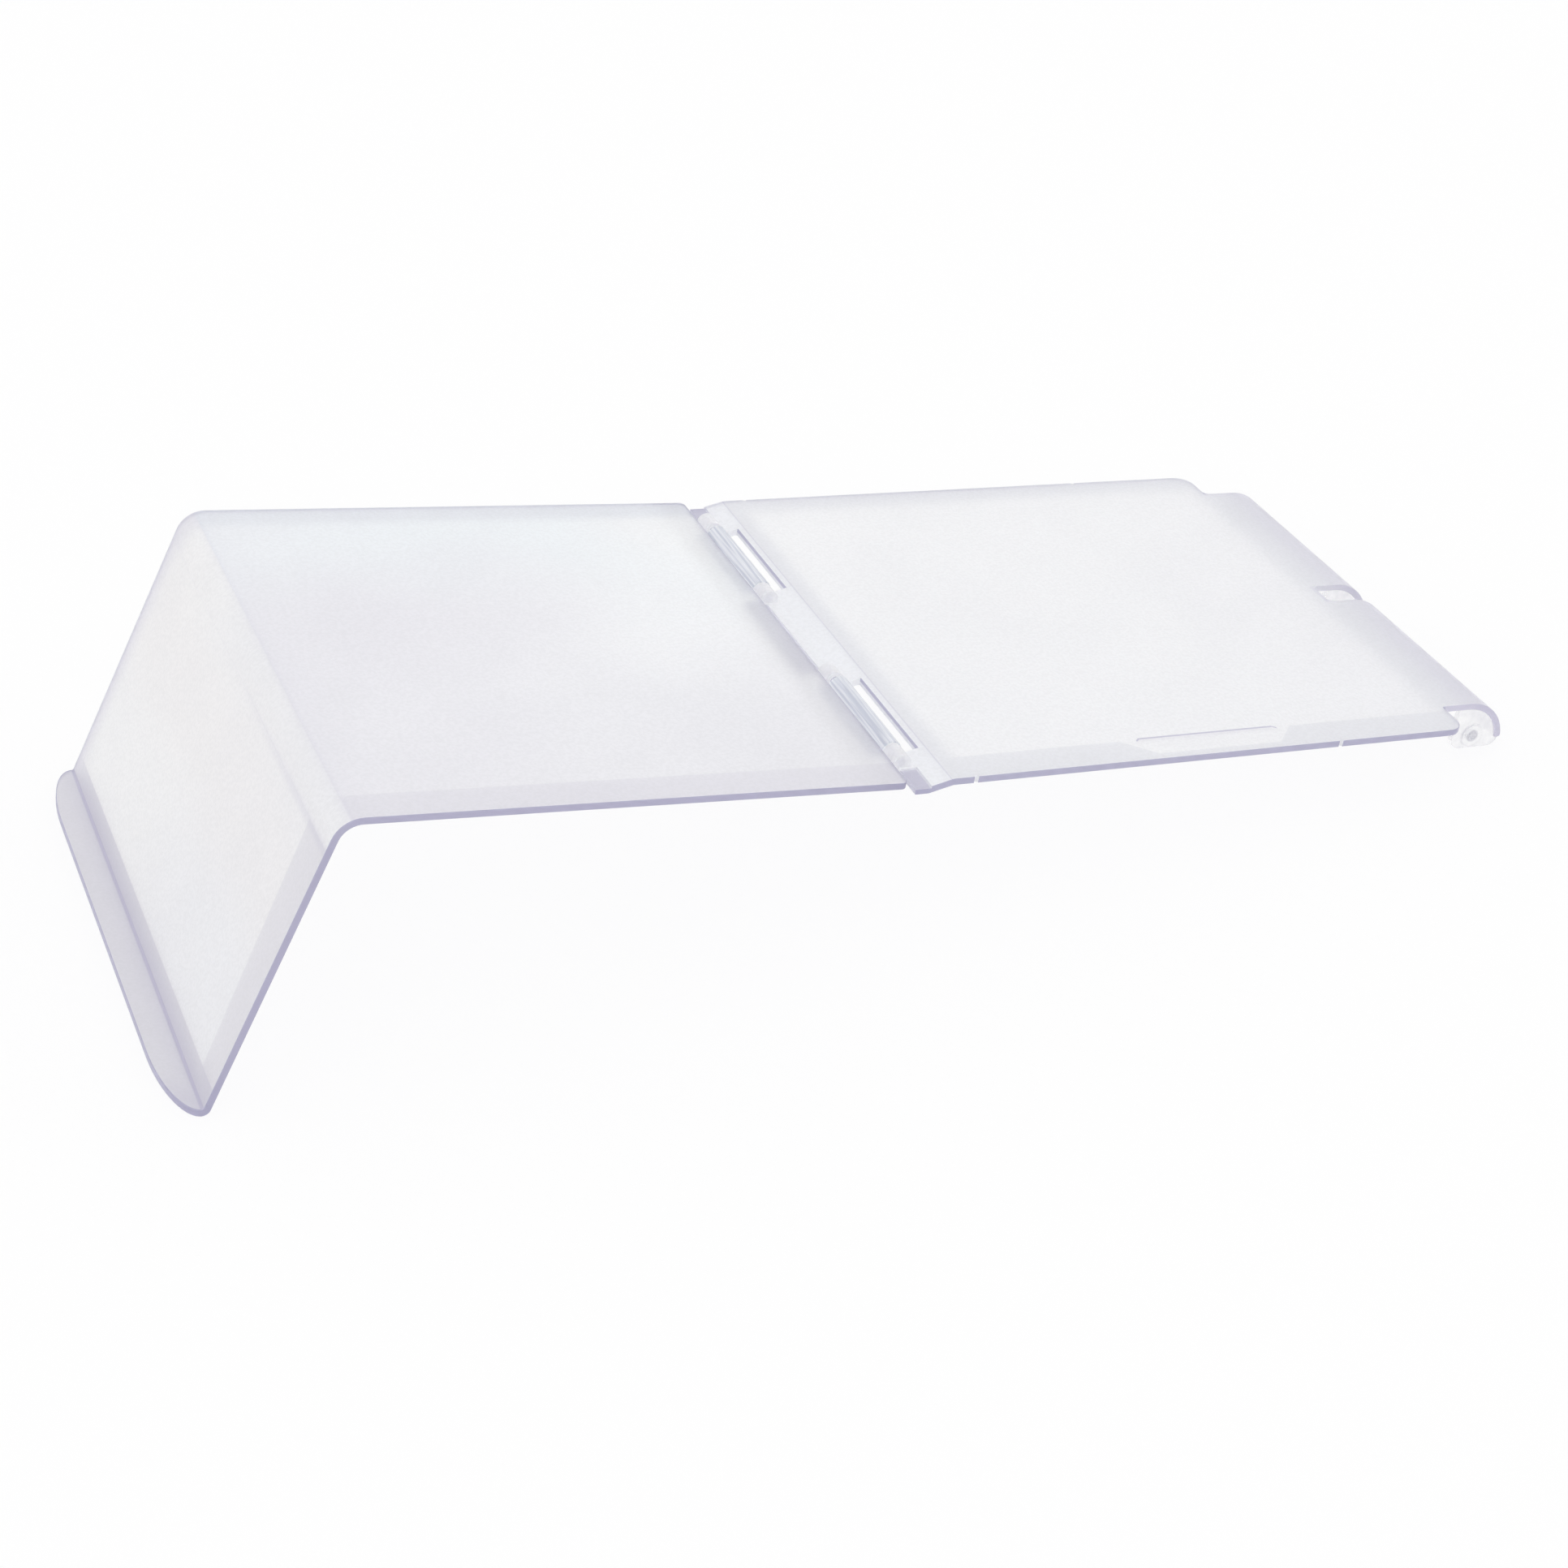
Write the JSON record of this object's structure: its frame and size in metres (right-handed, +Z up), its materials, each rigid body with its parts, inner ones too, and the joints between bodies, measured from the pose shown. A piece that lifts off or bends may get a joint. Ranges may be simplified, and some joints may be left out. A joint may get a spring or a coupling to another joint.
{
  "type": "folding sneeze guard",
  "caption": "Clear plastic sneeze guard: a bent front guard with an outward lip folds up and back over a flat rear cover with a rolled, lugged rim.",
  "frame": {"origin": "middle of the bottom of the bounding box, on the surface that the lip and the rear lugs stand on", "axes": "+X from the front lip to the rolled rear rim, +Y across the width and along the hinge, +Z up"},
  "size_m": [0.6814, 0.276, 0.1324],
  "materials": {
    "sheet_front": "clear polycarbonate with a frosted main field, polished margins and lavender edges",
    "sheet_rear": "clear polycarbonate with a frosted main field and a polished hinge strip and rim",
    "hinge_clip": "clear moulded plastic with a grey-lilac cast",
    "hinge_pin": "clear plastic rod, dark where it is seen end on",
    "pivot_lug": "colourless moulded plastic"
  },
  "bodies": {
    "rear": {"rear_cover": "sheet_rear", "hinge_pin_near": "hinge_pin", "hinge_pin_far": "hinge_pin", "pivot_lug_near_outer": "pivot_lug", "pivot_lug_near_inner": "pivot_lug", "pivot_lug_far_inner": "pivot_lug", "pivot_lug_far_outer": "pivot_lug"},
    "front": {"front_guard": "sheet_front", "hinge_clip_near": "hinge_clip", "hinge_clip_far": "hinge_clip"}
  },
  "joints": [
    {"name": "guard_fold", "type": "hinge", "parent": "rear", "child": "front", "pos_m": [0.00624, 0, 0.0797], "axis": [0, 1, 0], "range_deg": [0, 165]}
  ]
}
